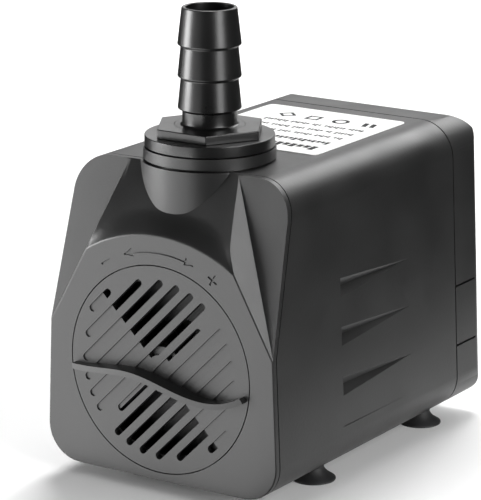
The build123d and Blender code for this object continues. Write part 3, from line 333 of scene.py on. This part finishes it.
def cast_epoxy():
    """Black potting epoxy, poured and left to level: glossy, with a few small bubbles' dimples."""
    material, tree, place = start("cast_black_epoxy")
    dimple = add(tree, "ShaderNodeTexVoronoi", {"Vector": place, "Scale": 1 / (5 * MM)})
    pit = add(tree, "ShaderNodeMapRange", {
        "Value": dimple.outputs["Distance"], "From Min": 0.0, "From Max": 0.14})
    bump = add(tree, "ShaderNodeBump", {
        "Height": pit.outputs["Result"], "Strength": 0.5, "Distance": 0.2 * MM})
    shader = add(tree, "ShaderNodeBsdfPrincipled", {
        "Base Color": linear("#0d0d0f"), "Roughness": 0.12, "Normal": bump.outputs["Normal"]})
    add(tree, "ShaderNodeOutputMaterial", {"Surface": shader.outputs["BSDF"]})
    return material


def label_film():
    """White polyester film under a matt varnish: near white, with a faint orange peel."""
    material, tree, place = start("white_polyester_film")
    peel = add(tree, "ShaderNodeTexNoise", {"Vector": place, "Scale": 1 / (1.2 * MM), "Detail": 2.0})
    colour = add(tree, "ShaderNodeMix", {
        MIX_FACTOR: peel.outputs["Fac"], MIX_LOW: linear("#f4f4f2"), MIX_HIGH: linear("#fcfcfa")},
        data_type="RGBA")
    bump = add(tree, "ShaderNodeBump", {
        "Height": peel.outputs["Fac"], "Strength": 0.15, "Distance": 0.02 * MM})
    shader = add(tree, "ShaderNodeBsdfPrincipled", {
        "Base Color": colour.outputs[MIX_COLOUR], "Roughness": 0.42,
        "Normal": bump.outputs["Normal"], "IOR": 1.5})
    add(tree, "ShaderNodeOutputMaterial", {"Surface": shader.outputs["BSDF"]})
    return material


def printing_ink():
    """Black thermal-transfer ink: flat, slightly uneven black."""
    material, tree, place = start("thermal_transfer_ink")
    wear = add(tree, "ShaderNodeTexNoise", {"Vector": place, "Scale": 1 / (0.5 * MM), "Detail": 3.0})
    colour = add(tree, "ShaderNodeMix", {
        MIX_FACTOR: wear.outputs["Fac"], MIX_LOW: linear("#060607"), MIX_HIGH: linear("#141416")},
        data_type="RGBA")
    shader = add(tree, "ShaderNodeBsdfPrincipled", {
        "Base Color": colour.outputs[MIX_COLOUR], "Roughness": 0.8})
    add(tree, "ShaderNodeOutputMaterial", {"Surface": shader.outputs["BSDF"]})
    return material


# name, darker and lighter colour, roughness, width and depth of the grain in millimetres, and IOR
HOUSING_ABS = moulded_plastic("moulded_abs_charcoal", "#181818", "#1c1c1c", 0.39, 0.42, 0.05)
NOZZLE_ABS = moulded_plastic("moulded_abs_black", "#0c0c0c", "#0f0f0f", 0.3, 0.5, 0.03)
ACETAL = moulded_plastic("natural_acetal", "#cfccc0", "#d9d6cb", 0.4, 0.5, 0.02, 1.48)
NYLON = moulded_plastic("natural_nylon", "#d6cba8", "#e0d7b9", 0.45, 0.5, 0.03, 1.53)
WIRE_PVC = moulded_plastic("red_pvc_insulation", "#8f1410", "#a31a15", 0.35, 0.6, 0.02, 1.53)
FUSE_SHELL = moulded_plastic("cream_phenolic_shell", "#d9d2bd", "#e2dcc9", 0.4, 0.5, 0.02, 1.6)
RUBBER = moulded_rubber()
COPPER = enamelled_copper()
CERAMIC = polished_ceramic()
INK = printing_ink()

# the nodes that aren't named here are rubber
NODE_MATERIALS = {
    "motor_housing": HOUSING_ABS, "intake_cover": HOUSING_ABS, "rear_cover": HOUSING_ABS,
    "flow_dial": HOUSING_ABS, "impeller_cover": HOUSING_ABS, "outlet_nozzle": NOZZLE_ABS,
    "impeller": ACETAL, "rotor_sleeve": ACETAL, "rotor_magnet": ground_ferrite(),
    "stator_core": laminated_steel(), "coil_bobbin_left": NYLON, "coil_bobbin_right": NYLON,
    "winding_left": COPPER, "winding_right": COPPER, "terminal_pins": tinned_wire(),
    "coil_link": WIRE_PVC, "thermal_fuse": FUSE_SHELL, "potting_resin": cast_epoxy(),
    "shaft": CERAMIC, "front_thrust_washer": CERAMIC, "rear_thrust_washer": CERAMIC,
    "rating_label": label_film(),
}


def dress(piece, material):
    """Gives a piece its one material, through the object's own slot."""
    if not piece.material_slots:
        piece.data.materials.append(material)
    piece.material_slots[0].link = "OBJECT"
    piece.material_slots[0].material = material


for name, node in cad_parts.items():
    dress(node, NODE_MATERIALS.get(name, RUBBER))


# ---- mesh helpers -----------------------------------------------------------------------
def new_piece(name, bm, material, body, stands_for):
    """A finished mesh as an object at the origin that rides on a body."""
    mesh = bpy.data.meshes.new(name)
    bm.to_mesh(mesh)
    bm.free()
    mesh.shade_smooth()
    piece = bpy.data.objects.new(name, mesh)
    bpy.context.scene.collection.objects.link(piece)
    mesh.materials.append(material)
    piece.modifiers.new("flat_faces_stay_flat", "WEIGHTED_NORMAL")
    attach(piece, body)
    if stands_for:
        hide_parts(*stands_for)


def sharp_edges(bm):
    """The edges where two faces meet at a definite angle."""
    return [e for e in bm.edges if len(e.link_faces) == 2 and e.calc_face_angle() > SHARP_ANGLE]


def round_edges(bm, edges, width_mm, segments=2):
    """Rounds some of a mesh's edges."""
    bmesh.ops.bevel(bm, geom=edges, offset=width_mm * MM, affect="EDGES", segments=segments,
                    profile=0.5, material=-1, clamp_overlap=True)


def raised(bm, faces, height_mm):
    """Draws flat faces up into a solid."""
    top = bmesh.ops.extrude_face_region(bm, geom=faces)["geom"]
    points = [v for v in top if isinstance(v, bmesh.types.BMVert)]
    bmesh.ops.translate(bm, vec=(0, 0, height_mm * MM), verts=points)


def middle_of(node):
    """The middle of a node's box in plan, at height zero."""
    low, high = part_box(node)
    return Vector(((low.x + high.x) / 2, (low.y + high.y) / 2, 0))


def outline_edges(bm):
    """The sharp edges round the flat front face of a cover, outside the marks sunk into it."""
    front = min(v.co.y for v in bm.verts)
    centre = middle_of("flow_dial")
    centre.z = sum(corner.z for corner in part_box("flow_dial")) / 2
    outline = []
    for edge in sharp_edges(bm):
        middle = (edge.verts[0].co + edge.verts[1].co) / 2
        away = Vector((middle.x - centre.x, middle.z - centre.z)).length
        if middle.y < front + FACE_DEPTH * MM and away > OUTLINE_REACH * MM:
            outline.append(edge)
    return outline


def rounded_shell(node, width_mm, material, body, seam_mm=0.0, front_mm=0.0):
    """A copy of a CAD shell with its moulded edges rounded, and its rear rim drawn back for a seam."""
    bm = bmesh.new()
    bm.from_mesh(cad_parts[node].data)
    bmesh.ops.remove_doubles(bm, verts=bm.verts, dist=MERGE_DISTANCE * MM)
    bmesh.ops.dissolve_limit(bm, angle_limit=FLAT_ANGLE, verts=bm.verts, edges=bm.edges)
    rear = max(v.co.y for v in bm.verts)
    rim = [v for v in bm.verts if v.co.y > rear - RIM_DEPTH * MM]
    bmesh.ops.translate(bm, vec=(0, -seam_mm * MM, 0), verts=rim)
    if front_mm:
        round_edges(bm, outline_edges(bm), front_mm, segments=3)
    round_edges(bm, sharp_edges(bm), width_mm)
    new_piece(node + "_shell", bm, material, body, (node,))


def lathed(outline, centre, closed=True):
    """A bmesh turned from (radius, height) points in millimetres about a vertical axis at centre."""
    bm = bmesh.new()
    ring = [bm.verts.new(centre + Vector((r * MM, 0, z * MM))) for r, z in outline]
    pairs = list(zip(ring, ring[1:])) + ([(ring[-1], ring[0])] if closed else [])
    edges = [bm.edges.new(pair) for pair in pairs]
    bmesh.ops.spin(bm, geom=ring + edges, cent=centre, axis=(0, 0, 1), angle=FULL_TURN,
                   steps=LATHE_STEPS, use_merge=True)
    bmesh.ops.remove_doubles(bm, verts=bm.verts, dist=MERGE_DISTANCE * MM)
    bmesh.ops.recalc_face_normals(bm, faces=bm.faces)
    return bm


# ---- the hose barb ----------------------------------------------------------------------
def nozzle_heights():
    """Heights of the stem's foot, the flange, the hexagon, the neck and the tip, in millimetres."""
    low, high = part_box("outlet_nozzle")
    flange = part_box("nozzle_gasket")[1].z / MM
    hexagon = flange + FLANGE_HEIGHT
    return low.z / MM, flange, hexagon, hexagon + HEX_HEIGHT, high.z / MM


def thread_radius():
    """Radius of the thread's crest in millimetres, from the gasket round the bore it screws into."""
    low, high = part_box("nozzle_gasket")
    return (high.x - low.x) / 2 / MM - GASKET_WIDTH - THREAD_CLEARANCE


def hose_barb():
    """Stem, flange, neck and three barbs, with the bore right through."""
    foot, flange, hexagon, neck, tip = nozzle_heights()
    low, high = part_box("outlet_nozzle")
    flange_radius = (high.x - low.x) / 2 / MM
    root = thread_radius() - THREAD_DEPTH
    crest = neck + NECK_HEIGHT
    outline = [(BORE_RADIUS, foot), (root - STEM_TAPER, foot), (root, foot + STEM_LEAD), (root, flange),
               (flange_radius, flange), (flange_radius, hexagon), (COLLAR_RADIUS, hexagon),
               (COLLAR_RADIUS, neck), (NECK_RADIUS + NECK_FLARE, neck),
               (NECK_RADIUS + NECK_FLARE / 3, neck + NECK_FLARE / 3), (NECK_RADIUS, neck + NECK_FLARE),
               (NECK_RADIUS, crest - BARB_STEP)]
    for top_radius, top in ((BARB_WAIST, crest + BARB_PITCH - BARB_STEP),
                            (BARB_WAIST, crest + 2 * BARB_PITCH - BARB_STEP), (TIP_RADIUS, tip)):
        outline += [(BARB_RADIUS, crest), (top_radius, top)]
        crest += BARB_PITCH
    outline.append((BORE_RADIUS, tip))
    bm = lathed(outline, middle_of("outlet_nozzle"))
    round_edges(bm, sharp_edges(bm), BARB_ROUND)
    new_piece("hose_barb", bm, NOZZLE_ABS, "nozzle", ("outlet_nozzle",))


def barb_hexagon():
    """The spanner hexagon on the flange, open in the middle for the collar."""
    foot = nozzle_heights()[2] - HEX_SINK
    place = Matrix.Translation(middle_of("outlet_nozzle") + Vector((0, 0, foot * MM)))
    place @= Matrix.Rotation(pi / 6, 4, "Z")
    bm = bmesh.new()
    bmesh.ops.create_circle(bm, segments=6, radius=HEX_RADIUS * MM, matrix=place)
    bmesh.ops.subdivide_edges(bm, edges=bm.edges[:], cuts=HEX_CUTS)
    bmesh.ops.create_circle(bm, segments=6 * (HEX_CUTS + 1), radius=HEX_OPENING * MM, matrix=place)
    ring = bmesh.ops.bridge_loops(bm, edges=bm.edges)["faces"]
    raised(bm, ring, HEX_HEIGHT + HEX_SINK)
    bmesh.ops.recalc_face_normals(bm, faces=bm.faces)
    round_edges(bm, sharp_edges(bm), HEX_ROUND)
    new_piece("barb_hexagon", bm, NOZZLE_ABS, "nozzle", ("outlet_nozzle",))


def barb_thread():
    """The helical thread on the stem: one ridge swept round and down."""
    foot, flange, _, _, _ = nozzle_heights()
    centre = middle_of("outlet_nozzle")
    crest = thread_radius()
    root = crest - THREAD_DEPTH
    half = THREAD_PITCH / 2
    side = half - THREAD_GAP
    flat = THREAD_PITCH / 12
    top = flange - THREAD_RUNOUT - half
    turns = int((top - half - foot) / THREAD_PITCH)
    steps = turns * THREAD_STEPS
    profile = ((root - THREAD_SINK, -side), (root, -side), (crest, -flat), (crest, flat), (root, side),
               (root - THREAD_SINK, side))
    bm = bmesh.new()
    ring = [bm.verts.new(centre + Vector((r * MM, 0, (top + z) * MM))) for r, z in profile]
    face = bm.faces.new(ring)
    bmesh.ops.spin(bm, geom=[face], cent=centre, axis=(0, 0, 1), angle=-FULL_TURN * turns, steps=steps,
                   dvec=(0, 0, -THREAD_PITCH * MM * turns / steps), use_merge=False)
    bmesh.ops.recalc_face_normals(bm, faces=bm.faces)
    new_piece("barb_thread", bm, NOZZLE_ABS, "nozzle", ("outlet_nozzle",))


# ---- the suction cups -------------------------------------------------------------------
def suction_cup(node):
    """One foot: a thin flared cup, hollow underneath, a neck and the head that snaps into the body."""
    low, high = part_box(node)
    rim = (high.x - low.x) / 2 / MM
    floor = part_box("motor_housing")[0].z / MM
    top = high.z / MM
    neck = CUP_BACK[-1][0]
    outline = [*CUP_INSIDE, (rim - CUP_LIP, 0), (rim, 0), (rim, CUP_RIM_HEIGHT), *CUP_BACK,
               (neck, floor), (STEM_RADIUS, floor), (STEM_RADIUS, top - HEAD_HEIGHT),
               (HEAD_RADIUS, top - HEAD_HEIGHT), (HEAD_RADIUS, top - HEAD_HEIGHT + HEAD_EDGE),
               (STEM_RADIUS, top), (0, top)]
    bm = lathed(outline, middle_of(node), closed=False)
    round_edges(bm, sharp_edges(bm), CUP_ROUND)
    new_piece(node + "_rubber", bm, RUBBER, "body", (node,))


# ---- the label's print: plain bars and shapes, no lettering -----------------------------
def plate(bm, low_x, low_y, high_x, high_y, bottom):
    """A thin flat bar of ink."""
    size = Vector((high_x - low_x, high_y - low_y, INK_THICKNESS)) * MM
    middle = Vector(((low_x + high_x) / 2, (low_y + high_y) / 2, bottom + INK_THICKNESS / 2)) * MM
    bmesh.ops.create_cube(bm, size=1.0, matrix=Matrix.LocRotScale(middle, None, size))


def ink_row(bm, start_x, y, height, stroke, gap, words, bottom):
    """Upright strokes in groups, as dense as a line of print but with no letters in it."""
    x = start_x
    base = y + height / 2
    for count, word in enumerate(words):
        for place in range(word):
            share = STROKE_SHARES[(3 * count + place) % len(STROKE_SHARES)]
            plate(bm, x - stroke, base - share * height, x, base, bottom)
            x -= stroke + gap
        x -= stroke + gap


def label_print():
    """Two heavy rows, three fine rows, two slanted bars and three ring-shaped marks."""
    low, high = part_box("rating_label")
    bottom = high.z / MM
    start_x = high.x / MM - LABEL_MARGIN
    front = low.y / MM
    marks_y = front + MARKS_Y
    bm = bmesh.new()
    for row_y, height, stroke, gap, words in PRINT_ROWS:
        ink_row(bm, start_x, front + row_y, height, stroke, gap, words, bottom)
    for offset in BAR_PLACES:
        corners = [Vector((start_x - offset + x, marks_y + y, bottom)) * MM for x, y in BAR_CORNERS]
        raised(bm, [bm.faces.new([bm.verts.new(corner) for corner in corners])], INK_THICKNESS)
    for offset, radius, segments, turn in RING_MARKS:
        middle = Vector((start_x - offset, marks_y, bottom)) * MM
        place = Matrix.LocRotScale(middle, Matrix.Rotation(turn, 3, "Z"), None)
        before = set(bm.edges)
        for share in RING_SHARES:
            bmesh.ops.create_circle(bm, segments=segments, radius=share * radius * MM, matrix=place)
        edges = [e for e in bm.edges if e not in before]
        raised(bm, bmesh.ops.bridge_loops(bm, edges=edges)["faces"], INK_THICKNESS)
    bmesh.ops.recalc_face_normals(bm, faces=bm.faces)
    new_piece("label_print", bm, INK, "body", ())


# ---- light, floor and camera ------------------------------------------------------------
def from_object(azimuth, elevation, distance):
    """A point at a distance from the view's target; azimuth 0 is in front of the dial."""
    a, e = radians(azimuth), radians(elevation)
    return VIEW_TARGET + distance * Vector((sin(a) * cos(e), -cos(a) * cos(e), sin(e)))


def aimed(thing, place, target):
    """Puts a camera or light in place, looking at the target."""
    thing.location = place
    thing.rotation_euler = (target - place).to_track_quat("-Z", "Y").to_euler()
    bpy.context.scene.collection.objects.link(thing)


def area_light(name, width, height, power):
    """A rectangular studio light that the camera doesn't see."""
    light = bpy.data.lights.new(name, "AREA")
    light.shape = "RECTANGLE"
    light.size = width
    light.size_y = height
    light.energy = power
    holder = bpy.data.objects.new(name, light)
    holder.visible_camera = False
    return holder


def make_floor():
    """A matt white floor at height zero that glows in the distance."""
    material, tree, place = start("matt_white_floor")
    away = add(tree, "ShaderNodeVectorMath", {0: place}, operation="LENGTH")
    glow = add(tree, "ShaderNodeMapRange", {
        "Value": away.outputs["Value"], "From Min": GLOW_START, "From Max": GLOW_FULL})
    shader = add(tree, "ShaderNodeBsdfPrincipled", {
        "Base Color": linear("#f7f7f7"), "Roughness": 0.9, "Emission Color": linear("#ffffff"),
        "Emission Strength": glow.outputs["Result"]})
    add(tree, "ShaderNodeOutputMaterial", {"Surface": shader.outputs["BSDF"]})
    for name, low_x, low_y, high_x, high_y, reflected in FLOOR_PIECES:
        bm = bmesh.new()
        corners = ((low_x, low_y), (high_x, low_y), (high_x, high_y), (low_x, high_y))
        bm.faces.new([bm.verts.new((x, y, 0)) for x, y in corners])
        mesh = bpy.data.meshes.new(name)
        bm.to_mesh(mesh)
        bm.free()
        mesh.materials.append(material)
        floor = bpy.data.objects.new(name, mesh)
        bpy.context.scene.collection.objects.link(floor)
        floor.visible_glossy = reflected


def make_surround():
    """A surround that the camera sees white, but that lights the pump only dimly."""
    world = bpy.data.worlds.new("studio")
    bpy.context.scene.world = world
    world.use_nodes = True
    tree = world.node_tree
    tree.nodes.clear()
    white = linear("#ffffff")
    dim = add(tree, "ShaderNodeBackground", {"Color": white, "Strength": WORLD_STRENGTH})
    pale = add(tree, "ShaderNodeBackground", {"Color": white, "Strength": 1.0})
    path = add(tree, "ShaderNodeLightPath")
    surround = add(tree, "ShaderNodeMixShader", {
        0: path.outputs["Is Camera Ray"], 1: dim.outputs[0], 2: pale.outputs[0]})
    add(tree, "ShaderNodeOutputWorld", {"Surface": surround.outputs[0]})


def make_lights():
    """The softboxes round the pump, and the light table, which faces up."""
    for name, azimuth, elevation, distance, width, height, power in SOFTBOXES:
        place = from_object(azimuth, elevation, distance)
        aimed(area_light(name, width, height, power), place, VIEW_TARGET)
    x, y, width, depth, power = LIGHT_TABLE
    aimed(area_light("light_table", width, depth, power), Vector((x, y, MM)), Vector((x, y, 1.0)))


def make_camera():
    """The camera, from the front and the pump's right."""
    camera = bpy.data.cameras.new("camera")
    camera.lens = LENS
    camera.sensor_width = SENSOR_WIDTH
    camera.clip_start = CLIP_START
    camera.clip_end = CLIP_END
    holder = bpy.data.objects.new("camera", camera)
    aimed(holder, from_object(VIEW_AZIMUTH, VIEW_ELEVATION, VIEW_DISTANCE), VIEW_TARGET)
    bpy.context.scene.camera = holder
    bpy.context.scene.view_settings.view_transform = "Standard"


make_floor()
make_surround()
make_lights()
make_camera()

for node, width, body, seam, front in ABS_SHELLS:
    rounded_shell(node, width, HOUSING_ABS, body, seam, front)
rounded_shell("cord_gland", EDGE_ROUND, RUBBER, "body")
rounded_shell("nozzle_gasket", DIAL_ROUND, RUBBER, "gasket")
hose_barb()
barb_hexagon()
barb_thread()
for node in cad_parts:
    if node.startswith("suction_cup"):
        suction_cup(node)
label_print()
